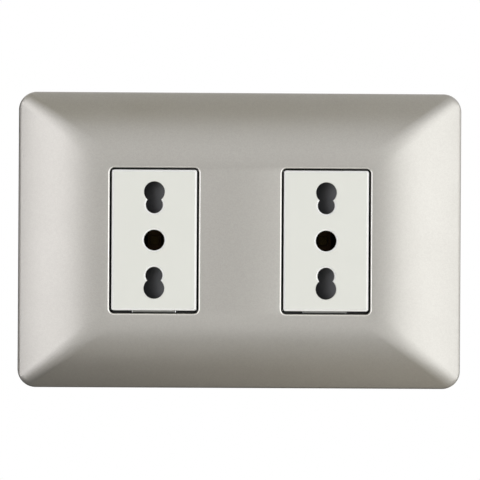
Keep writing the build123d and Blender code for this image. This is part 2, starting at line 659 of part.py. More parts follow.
def all_pieces():
    """The plate, the frame, its screws and the two modules in their places."""
    pieces = {
        "cover_plate": cover_plate(),
        "support_frame": support_frame(),
        "fixing_screws": fixing_screws(),
    }
    module = module_pieces()
    for side, x in (("left", -MODULE_PITCH / 2), ("right", MODULE_PITCH / 2)):
        for name, piece in module.items():
            pieces[f"{side}_{name}"] = Pos(x, 0, 0) * piece
    return pieces


os.makedirs("parts", exist_ok=True)
for name, piece in all_pieces().items():
    export_step(piece, f"parts/{name}.step")
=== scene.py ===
import math

import bmesh
import bpy
from mathutils import Matrix, Vector


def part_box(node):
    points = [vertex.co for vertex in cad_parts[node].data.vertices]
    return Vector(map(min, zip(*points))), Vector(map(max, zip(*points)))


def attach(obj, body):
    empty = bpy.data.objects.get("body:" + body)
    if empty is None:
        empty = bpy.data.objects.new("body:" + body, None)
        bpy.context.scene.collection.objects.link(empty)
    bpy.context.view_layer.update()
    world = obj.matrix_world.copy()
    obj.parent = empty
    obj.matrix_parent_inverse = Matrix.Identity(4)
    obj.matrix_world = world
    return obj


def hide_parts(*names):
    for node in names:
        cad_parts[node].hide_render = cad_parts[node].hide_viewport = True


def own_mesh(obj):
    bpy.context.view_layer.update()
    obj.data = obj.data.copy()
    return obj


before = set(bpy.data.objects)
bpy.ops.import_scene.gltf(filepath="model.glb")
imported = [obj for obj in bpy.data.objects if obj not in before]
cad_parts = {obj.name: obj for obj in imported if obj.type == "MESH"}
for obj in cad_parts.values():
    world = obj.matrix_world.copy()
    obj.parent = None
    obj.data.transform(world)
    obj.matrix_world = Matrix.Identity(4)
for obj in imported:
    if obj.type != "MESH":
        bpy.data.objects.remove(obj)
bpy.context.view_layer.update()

# Double wall socket, dressed for its picture. Pieces are drawn in millimetres in the frame of the solids:
# X runs right, Z runs up, Y runs into the wall, and the wall plane is Y = 0.

MM = 0.001

# Cover plate: outer sizes from the solid, the rest as it was moulded
PLATE_LOW, PLATE_HIGH = [Vector(corner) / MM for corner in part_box("cover_plate")]
PLATE_HALF_X = PLATE_HIGH.x
PLATE_HALF_Z = PLATE_HIGH.z
PLATE_RISE = -PLATE_LOW.y
PLATE_RIM = 2.4
PLATE_EDGE = 0.35
RIM_START = 35.0
RIM_STEPS = 5
PLATE_CORNER = 5.0
MITRE_OUTER = 3.0
MITRE_INNER = 4.0
PLATE_FLANK_SIDE = 23.5
PLATE_FLANK_TOP = 17.5
PLATE_WALL = 2.0
PLATE_CEILING = PLATE_WALL - PLATE_RISE
COLLAR_STEP = 0.02
COLLAR_WALL = 1.2
COLLAR_END = -4.0
WINDOW_HALF_X = 12.0
WINDOW_HALF_Z = 19.6
WINDOW_Z = -0.15
WINDOW_CORNER = 1.3
WINDOW_LIP = 0.4
MODULE_X = 23.15
FLANK_STEPS = 30
INNER_STEPS = 8
CORNER_STEPS = 12
LIP_STEPS = 5

# Ribs and snap hooks behind the plate
RIB_Z = 23.4
RIB_WALL = 1.2
RIB_END = -5.6
RIB_EDGE = 0.15
HOOK_X = 32.0
HOOK_WIDTH = 6.0
HOOK_INNER = 34.8
HOOK_WALL = 1.4
HOOK_BARB = 1.1
HOOK_INNER_ROOT = -4.6
HOOK_OUTER_ROOT = -4.2
HOOK_END = -0.3
HOOK_LEDGE = -1.1

# Shutter springs
SPRING_Y = -4.2
SPRING_Z = 4.9
SPRING_START = -1.75
SPRING_END = 10.15
SPRING_RADIUS = 0.85
SPRING_WIRE = 0.3
SPRING_TURNS = 7
SPRING_STEPS = 24
SPRING_SIDES = 10

# Screws: threads by their outer radius and pitch, the depth of a thread as a share of its pitch
SCREW_SIDES = 24
THREAD_DEPTH = 0.55
THREAD_SINK = 1 / 8
TIP_BREAK = 1 / 3
FIXING_X = 41.75
FIXING_RADIUS = 1.75
FIXING_NECK = 2.0
FIXING_PITCH = 0.8
FIXING_REACH = 22.0
FIXING_HEAD = 3.5
FIXING_SEAT = 2.6
FIXING_FLOOR = 3.6
FIXING_TOP = 4.8
FIXING_EDGE = 0.8
FIXING_SLOT = 0.9
CLAMP_Y = 15.7
CLAMP_RADIUS = 1.7
CLAMP_PITCH = 0.6
CLAMP_LENGTH = 4.4
CLAMP_TOP = 4.9
CLAMP_POLE_TOP = 16.55
CLAMP_EDGE = 0.2
CLAMP_SLOT = 0.6
CLAMP_SLOT_DEPTH = 1.0

# Edges that turn by more than this stay crisp
SHARP_ANGLE = math.radians(32)

# Depths between which the gap round a face is painted dark, a painted shade
GAP_FRONT = -8.6
GAP_DARK = -7.2
GAP_BACK = -0.6
GAP_FADE = 0.4

# How far a bevel at 45 degrees faces the front, where a flat face does by 1 and a side wall by 0. Such bevels
# are painted paler, a painted highlight
BEVEL_FACING = 0.7
BEVEL_SPREAD = 0.12

# Widths of the finishes' patterns
FLAKE_WIDTH = 0.25
CLOUD_WIDTH = 9.0
FLOW_WIDTH = 11.0
FACE_GRAIN = 0.5
STREAK_WIDTH = 0.3

# How much the roughness of a finish varies
PLASTIC_VARIES = 0.05
METAL_VARIES = 0.06

# Reach of the painted shade in the contacts' pockets, and the openness at which it is full and gone
POCKET_DARK = (12.0, 0.08, 0.4)

# Places of the plate's finishes, after its bare back
PAINTED = 1
LIPPED = 2


def colour(hex_value):
    """Linear colour of an sRGB hex value."""
    channels = [int(hex_value[place:place + 2], 16) / 255 for place in (1, 3, 5)]
    linear = [value / 12.92 if value <= 0.04045 else ((value + 0.055) / 1.055) ** 2.4 for value in channels]
    return (*linear, 1.0)


def node(tree, kind, settings={}, inputs={}):
    """A new node with its settings, each input given a value or linked from another node's output."""
    made = tree.nodes.new(kind)
    for name, value in settings.items():
        setattr(made, name, value)
    for name, value in inputs.items():
        if isinstance(value, bpy.types.NodeSocket):
            tree.links.new(value, made.inputs[name])
        else:
            made.inputs[name].default_value = value
    return made


def finish(name):
    """A new material and its empty node tree."""
    material = bpy.data.materials.new(name)
    material.use_nodes = True
    material.node_tree.nodes.clear()
    return material, material.node_tree


# Finishes

def satin_metallic_paint(name, light, dark):
    """Metallic lacquer on moulded ABS: a satin champagne silver whose flakes sparkle faintly and whose
    curved flanks take up the soft boxes while the flat middle stays quiet."""
    material, tree = finish(name)
    place = node(tree, "ShaderNodeTexCoord").outputs["Object"]
    # Flakes are near 0.04 mm; they are drawn 0.25 mm wide so that they show
    flakes = node(tree, "ShaderNodeTexVoronoi", inputs={"Vector": place, "Scale": 1 / (FLAKE_WIDTH * MM)})
    cloud = node(tree, "ShaderNodeTexNoise",
                 inputs={"Vector": place, "Scale": 1 / (CLOUD_WIDTH * MM), "Detail": 2.0})
    shade = node(tree, "ShaderNodeSeparateColor", inputs={"Color": flakes.outputs["Color"]})
    tone = node(tree, "ShaderNodeMix", {"data_type": "RGBA"},
                {"Factor": shade.outputs["Red"], 6: colour(dark), 7: colour(light)})
    rough = node(tree, "ShaderNodeMapRange",
                 inputs={"Value": cloud.outputs["Fac"], "To Min": 0.36, "To Max": 0.42})
    bump = node(tree, "ShaderNodeBump", inputs={"Height": shade.outputs["Green"], "Strength": 0.05,
                                                "Distance": 0.05 * MM})
    shader = node(tree, "ShaderNodeBsdfPrincipled",
                  inputs={"Base Color": tone.outputs[2], "Metallic": 0.8,
                          "Roughness": rough.outputs["Result"], "Normal": bump.outputs["Normal"]})
    node(tree, "ShaderNodeOutputMaterial", inputs={"Surface": shader.outputs["BSDF"]})
    return material


def painted_recess_shade(tree, tone, dark, reach, closed, clear):
    """A tone with painted shade: it darkens in corners and recesses by how closed in they are. The reach is
    in mm, and the tone goes from dark to its own between two degrees of openness."""
    openness = node(tree, "ShaderNodeAmbientOcclusion", {"samples": 8}, {"Distance": reach * MM})
    share = node(tree, "ShaderNodeMapRange",
                 inputs={"Value": openness.outputs["AO"], "From Min": closed, "From Max": clear})
    return node(tree, "ShaderNodeMix", {"data_type": "RGBA"},
                {"Factor": share.outputs["Result"], 6: colour(dark), 7: tone.outputs[2]})


def moulded_plastic(name, light, dark, roughness, ior, grain, depth, edge):
    """Injection-moulded plastic: an even body colour, the fine grain of the tool, and broken edges."""
    material, tree = finish(name)
    place = node(tree, "ShaderNodeTexCoord").outputs["Object"]
    skin = node(tree, "ShaderNodeTexNoise",
                inputs={"Vector": place, "Scale": 1 / (grain * MM), "Detail": 3.0})
    flow = node(tree, "ShaderNodeTexNoise",
                inputs={"Vector": place, "Scale": 1 / (FLOW_WIDTH * MM), "Detail": 1.0})
    tone = node(tree, "ShaderNodeMix", {"data_type": "RGBA"},
                {"Factor": flow.outputs["Fac"], 6: colour(dark), 7: colour(light)})
    rough = node(tree, "ShaderNodeMapRange",
                 inputs={"Value": skin.outputs["Fac"], "To Min": roughness - PLASTIC_VARIES,
                         "To Max": roughness + PLASTIC_VARIES})
    soft = node(tree, "ShaderNodeBevel", {"samples": 6}, {"Radius": edge * MM})
    bump = node(tree, "ShaderNodeBump", inputs={"Height": skin.outputs["Fac"], "Strength": 0.15,
                                                "Distance": depth * MM, "Normal": soft.outputs["Normal"]})
    shader = node(tree, "ShaderNodeBsdfPrincipled",
                  inputs={"Base Color": tone.outputs[2], "Roughness": rough.outputs["Result"], "IOR": ior,
                          "Normal": bump.outputs["Normal"]})
    node(tree, "ShaderNodeOutputMaterial", inputs={"Surface": shader.outputs["BSDF"]})
    return material


def module_white():
    """Injection-moulded polycarbonate of the socket faces: an even warm white with the fine grain of the
    tool. The bevels are painted paler, a painted highlight, and the narrow gap round the face is painted
    dark, a painted shade."""
    material, tree = finish("white polycarbonate")
    place = node(tree, "ShaderNodeTexCoord").outputs["Object"]
    skin = node(tree, "ShaderNodeTexNoise",
                inputs={"Vector": place, "Scale": 1 / (FACE_GRAIN * MM), "Detail": 3.0})
    flow = node(tree, "ShaderNodeTexNoise",
                inputs={"Vector": place, "Scale": 1 / (FLOW_WIDTH * MM), "Detail": 1.0})
    body = node(tree, "ShaderNodeMix", {"data_type": "RGBA"},
                {"Factor": flow.outputs["Fac"], 6: colour("#e0e0d7"), 7: colour("#e2e2d9")})
    facing = node(tree, "ShaderNodeSeparateXYZ",
                  inputs={"Vector": node(tree, "ShaderNodeNewGeometry").outputs["True Normal"]})
    # Painted highlight: bevels that face the front are painted a paler white
    bevel = node(tree, "ShaderNodeMath", {"operation": "COMPARE"},
                 {0: facing.outputs["Y"], 1: -BEVEL_FACING, 2: BEVEL_SPREAD})
    bevel_highlight = node(tree, "ShaderNodeMix", {"data_type": "RGBA"},
                    {"Factor": bevel.outputs[0], 6: body.outputs[2], 7: colour("#fcfcf8")})
    depth = node(tree, "ShaderNodeSeparateXYZ", inputs={"Vector": place})
    # Painted shade: the face is painted dark deep in the gap round it, between the gap's depths
    into_gap = node(tree, "ShaderNodeMapRange", {"interpolation_type": "SMOOTHSTEP"},
                    {"Value": depth.outputs["Y"], "From Min": GAP_FRONT * MM, "From Max": GAP_DARK * MM})
    out_of_gap = node(tree, "ShaderNodeMapRange", {"interpolation_type": "SMOOTHSTEP"},
                      {"Value": depth.outputs["Y"], "From Min": GAP_BACK * MM,
                       "From Max": (GAP_BACK + GAP_FADE) * MM, "To Min": 1.0, "To Max": 0.0})
    gap_shade = node(tree, "ShaderNodeMath", {"operation": "MULTIPLY"},
                {0: into_gap.outputs["Result"], 1: out_of_gap.outputs["Result"]})
    tone = node(tree, "ShaderNodeMix", {"data_type": "RGBA"},
                {"Factor": gap_shade.outputs[0], 6: bevel_highlight.outputs[2], 7: colour("#3a3833")})
    rough = node(tree, "ShaderNodeMapRange",
                 inputs={"Value": skin.outputs["Fac"], "To Min": 0.29, "To Max": 0.39})
    soft = node(tree, "ShaderNodeBevel", {"samples": 6}, {"Radius": 0.3 * MM})
    bump = node(tree, "ShaderNodeBump", inputs={"Height": skin.outputs["Fac"], "Strength": 0.15,
                                                "Distance": 0.01 * MM, "Normal": soft.outputs["Normal"]})
    shader = node(tree, "ShaderNodeBsdfPrincipled",
                  inputs={"Base Color": tone.outputs[2], "Roughness": rough.outputs["Result"], "IOR": 1.585,
                          "Normal": bump.outputs["Normal"]})
    node(tree, "ShaderNodeOutputMaterial", inputs={"Surface": shader.outputs["BSDF"]})
    return material


def worked_metal(name, light, dark, roughness, streak, edge, recess=()):
    """Stamped or drawn metal: fine lines along the strip and a slight change of tone between them."""
    material, tree = finish(name)
    place = node(tree, "ShaderNodeTexCoord").outputs["Object"]
    along = node(tree, "ShaderNodeMapping", inputs={"Vector": place, "Scale": (1.0, streak, 1.0)})
    lines = node(tree, "ShaderNodeTexNoise",
                 inputs={"Vector": along.outputs["Vector"], "Scale": 1 / (STREAK_WIDTH * MM), "Detail": 3.0})
    tone = node(tree, "ShaderNodeMix", {"data_type": "RGBA"},
                {"Factor": lines.outputs["Fac"], 6: colour(dark), 7: colour(light)})
    # Painted shade: the metal is painted near black deep in its pockets
    if recess:
        tone = painted_recess_shade(tree, tone, "#14110d", *recess)
    rough = node(tree, "ShaderNodeMapRange",
                 inputs={"Value": lines.outputs["Fac"], "To Min": roughness - METAL_VARIES,
                         "To Max": roughness + METAL_VARIES})
    soft = node(tree, "ShaderNodeBevel", {"samples": 4}, {"Radius": edge * MM})
    bump = node(tree, "ShaderNodeBump", inputs={"Height": lines.outputs["Fac"], "Strength": 0.2,
                                                "Distance": 0.02 * MM, "Normal": soft.outputs["Normal"]})
    shader = node(tree, "ShaderNodeBsdfPrincipled",
                  inputs={"Base Color": tone.outputs[2], "Metallic": 1.0,
                          "Roughness": rough.outputs["Result"], "Normal": bump.outputs["Normal"]})
    node(tree, "ShaderNodeOutputMaterial", inputs={"Surface": shader.outputs["BSDF"]})
    return material


PAINT = satin_metallic_paint("satin metallic paint", "#a8a59f", "#a29f99")
# The lip of a window is painted paler, a painted highlight that draws a pale line round it
LIP_HIGHLIGHT_PAINT = satin_metallic_paint("paint painted pale at the lip", "#d6d4ce", "#d0cec8")
PLATE_BACK = moulded_plastic("unpainted dark ABS", "#474748", "#414142", roughness=0.5, ior=1.53, grain=0.4,
                             depth=0.02, edge=0.1)
WHITE = module_white()
FRAME_GREY = moulded_plastic("graphite glass-filled polyamide", "#303133", "#2a2b2d", roughness=0.52,
                             ior=1.53, grain=0.4, depth=0.03, edge=0.2)
BLACK = moulded_plastic("black polyamide", "#242425", "#1d1d1e", roughness=0.5, ior=1.53, grain=0.4,
                        depth=0.03, edge=0.25)
SHUTTER_GREY = moulded_plastic("dark grey polyamide", "#4a4a4c", "#444446", roughness=0.55, ior=1.53,
                               grain=0.4, depth=0.02, edge=0.15)
# Contacts and terminals carry painted shade deep in their pockets
BRONZE = worked_metal("tin bronze strip", "#b08a5e", "#987450", roughness=0.4, streak=0.1, edge=0.1,
                      recess=POCKET_DARK)
BRASS = worked_metal("drawn brass", "#b59b5f", "#9c8048", roughness=0.42, streak=0.1, edge=0.2,
                     recess=POCKET_DARK)
ZINC = worked_metal("zinc-plated steel", "#cdd0d3", "#bcc0c4", roughness=0.3, streak=0.5, edge=0.1)
SPRING_STEEL = worked_metal("bright spring steel", "#b3b4b6", "#a3a4a6", roughness=0.28, streak=1.0,
                            edge=0.02)


# Mesh helpers

def rounded_outline(bm, half_x, half_z, corner, depth, centre_x=0.0, centre_z=0.0):
    """Edges of a rounded rectangle across the wall, at a depth along Y."""
    place = Matrix.Translation((centre_x, depth, centre_z))
    upright = Matrix.Rotation(math.radians(90), 4, "X")
    size = Matrix.Diagonal((half_x, half_z, 1.0, 1.0))
    grid = bmesh.ops.create_grid(bm, x_segments=1, y_segments=1, size=1.0, matrix=place @ upright @ size)
    rounded = bmesh.ops.bevel(bm, geom=grid["verts"], offset=corner, offset_type="OFFSET",
                              segments=CORNER_STEPS, profile=0.5, affect="VERTICES", material=-1)
    face = rounded["verts"][0].link_faces[0]
    edges = list(face.edges)
    bmesh.ops.delete(bm, geom=[face], context="FACES_ONLY")
    return edges


def skin(bm, outlines, finish_index=0):
    """Bridges each outline to the next."""
    for near, far in zip(outlines, outlines[1:]):
        for face in bmesh.ops.bridge_loops(bm, edges=near + far)["faces"]:
            face.material_index = finish_index


def flat(bm, *outlines, finish_index=0):
    """Fills the flat land between an outline and those inside it."""
    edges = [edge for outline in outlines for edge in outline]
    filled = bmesh.ops.triangle_fill(bm, use_beauty=True, use_dissolve=False, normal=(0, 1, 0), edges=edges)
    for part in filled["geom"]:
        if isinstance(part, bmesh.types.BMFace):
            part.material_index = finish_index


def linked(verts, kind):
    """The edges or faces of some corners, each once and in a steady order."""
    return list(dict.fromkeys(part for vert in verts for part in getattr(vert, kind)))


def bar(bm, low, high, edge):
    """Straight moulded bar between two corners, its edges slightly broken."""
    low, high = Vector(low), Vector(high)
    place = Matrix.Translation((low + high) / 2) @ Matrix.Diagonal((*(high - low), 1.0))
    cube = bmesh.ops.create_cube(bm, size=1.0, matrix=place)
    bmesh.ops.bevel(bm, geom=linked(cube["verts"], "link_edges"), offset=edge, offset_type="OFFSET",
                    segments=2, profile=0.5, affect="EDGES", material=-1)


def prism(bm, outline, x_from, x_to):
    """Bar along X with an outline of (y, z) corners."""
    face = bm.faces.new([bm.verts.new((x_from, y, z)) for y, z in outline])
    grown = bmesh.ops.extrude_face_region(bm, geom=[face])
    moved = [part for part in grown["geom"] if isinstance(part, bmesh.types.BMVert)]
    bmesh.ops.translate(bm, vec=(x_to - x_from, 0, 0), verts=moved)


def piece(bm, name, body, slot, *finishes):
    """The finished mesh as a piece of the object, in metres, riding on a body."""
    bmesh.ops.recalc_face_normals(bm, faces=bm.faces)
    for face in bm.faces:
        face.smooth = True
    for edge in bm.edges:
        edge.smooth = edge.calc_face_angle(0) < SHARP_ANGLE
    bmesh.ops.transform(bm, matrix=Matrix.Scale(MM, 4), verts=bm.verts)
    mesh = bpy.data.meshes.new(name)
    bm.to_mesh(mesh)
    bm.free()
    for material in finishes:
        mesh.materials.append(material)
    made = bpy.data.objects.new(name, mesh)
    bpy.context.scene.collection.objects.link(made)
    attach(made, body)
    return made


# Cover plate

def pillow_outline(bm, share, depth):
    """Outline of the flanks at a share of their run, at a depth along Y. Its corners draw the mitres."""
    corner = MITRE_OUTER + (MITRE_INNER - MITRE_OUTER) * share
    return rounded_outline(bm, PLATE_HALF_X - PLATE_FLANK_SIDE * share,
                           PLATE_HALF_Z - PLATE_FLANK_TOP * share, corner, depth)


def pillow_depth(share):
    """Depth of the bowed flanks at a share of their run."""
    return -PLATE_RIM - (PLATE_RISE - PLATE_RIM) * (1 - (1 - share) ** 2)


def flank_shares(start, end, steps):
    """Even steps from one share of the flank to another."""
    return [start + (end - start) * step / steps for step in range(steps + 1)]


def plate_corners():
    """The sides of each corner of the plate, and the centre of its rounding."""
    for side_x in (-1, 1):
        for side_z in (-1, 1):
            yield side_x, side_z, Vector((side_x * (PLATE_HALF_X - PLATE_CORNER), 0,
                                          side_z * (PLATE_HALF_Z - PLATE_CORNER)))


def trim_corners(bm):
    """Trims the mitred flanks to the rounded corners of the plate, short of its edge."""
    for side_x, side_z, centre in plate_corners():
        for step in range(CORNER_STEPS + 1):
            turn = math.pi / 2 * step / CORNER_STEPS
            out = Vector((side_x * math.cos(turn), 0, side_z * math.sin(turn)))
            bmesh.ops.bisect_plane(bm, geom=bm.verts[:] + bm.edges[:] + bm.faces[:], clear_outer=True,
                                   plane_co=centre + out * (PLATE_CORNER - PLATE_EDGE), plane_no=out)


def grow_rim(bm, edge, scale, drop):
    """Grows the rim by one strip, scaled about each corner's centre and dropped along Y. Returns its edge."""
    grown = bmesh.ops.extrude_edge_only(bm, edges=edge)["geom"]
    verts = {part for part in grown if isinstance(part, bmesh.types.BMVert)}
    for side_x, side_z, centre in plate_corners():
        near = [vert for vert in verts if vert.co.x * side_x > 0 and vert.co.z * side_z > 0]
        bmesh.ops.scale(bm, vec=scale, space=Matrix.Translation(-centre), verts=near)
    bmesh.ops.translate(bm, vec=(0, drop, 0), verts=list(verts))
    for part in grown:
        if isinstance(part, bmesh.types.BMFace):
            part.material_index = PAINTED
    return [part for part in grown if isinstance(part, bmesh.types.BMEdge) and verts.issuperset(part.verts)]


def plate_rim(bm, edge):
    """Rounds the flanks over at their edge and takes the rim down to the wall plane. Returns its foot."""
    start = math.radians(RIM_START)
    radius = PLATE_EDGE / (1 - math.sin(start))
    inset, sunk = PLATE_EDGE, 0.0
    for step in range(RIM_STEPS):
        turn = start + (math.pi / 2 - start) * (step + 1) / RIM_STEPS
        left = radius * (1 - math.sin(turn))
        depth = radius * (math.cos(start) - math.cos(turn))
        grown = (PLATE_CORNER - left) / (PLATE_CORNER - inset)
        edge = grow_rim(bm, edge, (grown, 1.0, grown), depth - sunk)
        inset, sunk = left, depth
    return grow_rim(bm, edge, (1.0, 0.0, 1.0), 0.0)


def window_outlines(bm, x):
    """Outlines of a window from its rounded front lip back through the plate's wall."""
    outlines = []
    for step in range(LIP_STEPS + 1):
        turn = math.pi / 2 * step / LIP_STEPS
        grown = WINDOW_LIP * (1 - math.sin(turn))
        depth = WINDOW_LIP * (1 - math.cos(turn)) - PLATE_RISE
        outlines.append(rounded_outline(bm, WINDOW_HALF_X + grown, WINDOW_HALF_Z + grown,
                                        WINDOW_CORNER + grown, depth, x, WINDOW_Z))
    outlines.append(rounded_outline(bm, WINDOW_HALF_X, WINDOW_HALF_Z, WINDOW_CORNER, PLATE_CEILING, x,
                                    WINDOW_Z))
    return outlines


def window_collar(bm, x):
    """Collar behind a window, rooted in the plate's wall."""
    root = PLATE_CEILING - PLATE_WALL / 2
    walls = []
    for wall, corner in ((COLLAR_STEP, WINDOW_CORNER), (COLLAR_WALL, COLLAR_WALL)):
        walls.append([rounded_outline(bm, WINDOW_HALF_X + wall, WINDOW_HALF_Z + wall, corner, depth, x,
                                      WINDOW_Z)
                      for depth in (root, COLLAR_END)])
    inner, outer = walls
    skin(bm, inner)
    skin(bm, outer)
    flat(bm, inner[0], outer[0])
    flat(bm, inner[1], outer[1])


def plate_hook(bm, x, side):
    """Snap hook behind the upper or lower edge of the plate."""
    outer = HOOK_INNER + HOOK_WALL
    post = [(HOOK_INNER_ROOT, HOOK_INNER), (HOOK_OUTER_ROOT, outer), (HOOK_END, outer)]
    barb = [(HOOK_END, HOOK_INNER), (HOOK_LEDGE, HOOK_INNER - HOOK_BARB), (HOOK_LEDGE, HOOK_INNER)]
    prism(bm, [(y, side * z) for y, z in post + barb], x - HOOK_WIDTH / 2, x + HOOK_WIDTH / 2)


def cover_plate():
    """Pillow-shaped plate with two lipped windows, hollow behind, with collars, ribs and snap hooks."""
    bm = bmesh.new()
    outer = [pillow_outline(bm, share, pillow_depth(share))
             for share in flank_shares(0.0, 1.0, FLANK_STEPS)]
    skin(bm, outer, PAINTED)
    trim_corners(bm)
    foot = plate_rim(bm, [edge for edge in bm.edges if edge.is_boundary and edge not in outer[-1]])
    windows = [window_outlines(bm, x) for x in (-MODULE_X, MODULE_X)]
    flat(bm, outer[-1], windows[0][0], windows[1][0], finish_index=PAINTED)
    for window in windows:
        skin(bm, window[:-1], LIPPED)
        skin(bm, window[-2:])
    inner_share = PLATE_WALL / PLATE_FLANK_TOP
    inner = [pillow_outline(bm, share, pillow_depth(share) + PLATE_WALL)
             for share in flank_shares(inner_share, 1.0, INNER_STEPS)]
    inner_foot = pillow_outline(bm, inner_share, 0.0)
    flat(bm, foot, inner_foot)
    skin(bm, [inner_foot] + inner)
    flat(bm, inner[-1], windows[0][-1], windows[1][-1])
    for side in (-1, 1):
        window_collar(bm, side * MODULE_X)
        bar(bm, (-MODULE_X - WINDOW_HALF_X, PLATE_CEILING - PLATE_WALL / 2, side * RIB_Z),
            (MODULE_X + WINDOW_HALF_X, RIB_END, side * RIB_Z + RIB_WALL), RIB_EDGE)
        for x in (-HOOK_X, HOOK_X):
            plate_hook(bm, x, side)
    plate = piece(bm, "painted_plate", "wall_unit", "satin_paint", PLATE_BACK, PAINT, LIP_HIGHLIGHT_PAINT)
    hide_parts("cover_plate")


# Shutter springs

def shutter_spring(side, x):
    """Coil of round wire between the shutter's lug and the side of the skirt."""
    bm = bmesh.new()
    start = Vector((x + SPRING_START + SPRING_WIRE / 2, SPRING_Y + SPRING_RADIUS, SPRING_Z))
    wire = bmesh.ops.create_circle(bm, cap_ends=True, segments=SPRING_SIDES, radius=SPRING_WIRE / 2,
                                   matrix=Matrix.Translation(start))
    ends = linked(wire["verts"], "link_faces")
    steps = SPRING_TURNS * SPRING_STEPS
    length = SPRING_END - SPRING_START - SPRING_WIRE
    bmesh.ops.spin(bm, geom=ends, cent=(x, SPRING_Y, SPRING_Z), axis=(1, 0, 0), dvec=(length / steps, 0, 0),
                   angle=2 * math.pi * SPRING_TURNS, steps=steps, use_duplicate=False)
    spring = piece(bm, side + "_coil_spring", "wall_unit", "spring_steel", SPRING_STEEL)
    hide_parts(side + "_shutter_spring")
    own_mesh(spring)


# Screws

def slotted_end(bm, radius, floor, top, edge, slot):
    """The two lands of a slotted screw end along +Z, rooted below the floor of the slot."""
    root = floor - edge
    for side in (-1, 1):
        old = set(bm.verts)
        bmesh.ops.create_cone(bm, cap_ends=True, segments=SCREW_SIDES, radius1=radius, radius2=radius,
                              depth=top - root, matrix=Matrix.Translation((0, 0, (top + root) / 2)))
        land = [vert for vert in bm.verts if vert not in old]
        rim = [line for line in linked(land, "link_edges") if all(vert.co.z > floor for vert in line.verts)]
        bmesh.ops.bevel(bm, geom=rim, offset=edge, offset_type="OFFSET", segments=4, profile=0.5,
                        affect="EDGES", material=-1)
        land = [vert for vert in bm.verts if vert not in old]
        geometry = land + linked(land, "link_edges") + linked(land, "link_faces")
        cut = bmesh.ops.bisect_plane(bm, geom=geometry, plane_co=(0, side * slot / 2, 0),
                                     plane_no=(0, side, 0), clear_inner=True)
        wall = [part for part in cut["geom_cut"] if isinstance(part, bmesh.types.BMEdge)]
        bmesh.ops.edgenet_fill(bm, edges=wall)


def threaded_shank(bm, radius, pitch, start, end):
    """Round core along +Z with a blunt tip at its start, and a sharp thread wound on it."""
    core = radius - THREAD_DEPTH * pitch
    shank = bmesh.ops.create_cone(bm, cap_ends=True, segments=SCREW_SIDES, radius1=core, radius2=core,
                                  depth=end - start, matrix=Matrix.Translation((0, 0, (start + end) / 2)))
    tip = [line for line in linked(shank["verts"], "link_edges")
           if all(vert.co.z < (start + end) / 2 for vert in line.verts)]
    bmesh.ops.bevel(bm, geom=tip, offset=core * TIP_BREAK, offset_type="OFFSET", segments=1, profile=0.5,
                    affect="EDGES", material=-1)
    root = core - pitch * THREAD_SINK
    low = start + core * TIP_BREAK
    ridge = ((root, 0, low), (radius, 0, low + pitch / 2), (root, 0, low + pitch))
    corners = [bm.verts.new(place) for place in ridge]
    turns = round((end - low) / pitch) - 1
    steps = turns * SCREW_SIDES
    bmesh.ops.spin(bm, geom=[bm.faces.new(corners)], cent=(0, 0, 0), axis=(0, 0, 1),
                   dvec=(0, 0, pitch / SCREW_SIDES), angle=2 * math.pi * turns, steps=steps,
                   use_duplicate=False)


def screw_group(name, slot, node_name, shape, places):
    """One screw's mesh repeated at each place, as one piece that stands for a group of solids."""
    bmesh.ops.recalc_face_normals(shape, faces=shape.faces)
    pattern = bpy.data.meshes.new(name + "_pattern")
    shape.to_mesh(pattern)
    shape.free()
    bm = bmesh.new()
    for place in places:
        old = set(bm.verts)
        bm.from_mesh(pattern)
        bmesh.ops.transform(bm, matrix=place, verts=[vert for vert in bm.verts if vert not in old])
    bpy.data.meshes.remove(pattern)
    group = piece(bm, name, "wall_unit", slot, ZINC)
    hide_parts(node_name)


def fixing_screws():
    """The two pan-head screws into the wall box, slotted, with a plain neck through the frame."""
    bm = bmesh.new()
    slotted_end(bm, FIXING_HEAD, FIXING_FLOOR, FIXING_TOP, FIXING_EDGE, FIXING_SLOT)
    bmesh.ops.create_cone(bm, cap_ends=True, segments=SCREW_SIDES, radius1=FIXING_HEAD, radius2=FIXING_HEAD,
                          depth=FIXING_FLOOR - FIXING_SEAT,
                          matrix=Matrix.Translation((0, 0, (FIXING_FLOOR + FIXING_SEAT) / 2)))
    bmesh.ops.create_cone(bm, cap_ends=True, segments=SCREW_SIDES, radius1=FIXING_NECK, radius2=FIXING_NECK,
                          depth=FIXING_SEAT, matrix=Matrix.Translation((0, 0, FIXING_SEAT / 2)))
    threaded_shank(bm, FIXING_RADIUS, FIXING_PITCH, -FIXING_REACH, 0.0)
    outward = Matrix.Rotation(math.radians(90), 4, "X")
    screw_group("threaded_fixing_screws", "plated_steel", "fixing_screws", bm,
                [Matrix.Translation((side * FIXING_X, 0, 0)) @ outward for side in (-1, 1)])


def clamp_screws(side, x):
    """The three headless clamping screws of a module, slotted and threaded."""
    bm = bmesh.new()
    floor = CLAMP_TOP - CLAMP_SLOT_DEPTH
    slotted_end(bm, CLAMP_RADIUS - THREAD_DEPTH * CLAMP_PITCH, floor, CLAMP_TOP, CLAMP_EDGE, CLAMP_SLOT)
    threaded_shank(bm, CLAMP_RADIUS, CLAMP_PITCH, CLAMP_TOP - CLAMP_LENGTH, floor)
    middle = Matrix.Translation((x, CLAMP_Y, 0))
    upper = Matrix.Translation((0, 0, CLAMP_POLE_TOP - CLAMP_TOP))
    screw_group(side + "_clamp_screws", "plated_steel", side + "_terminal_screws", bm,
                [middle @ upper, middle @ Matrix.Rotation(math.pi, 4, "Y") @ upper,
                 middle @ Matrix.Rotation(-math.pi / 2, 4, "Y")])


# Finishes of the solids that stay

def dress(finishes):
    """Gives each solid that stays its finish."""
    for name, material in finishes.items():
        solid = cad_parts[name]
        for place in solid.material_slots:
            place.material = material


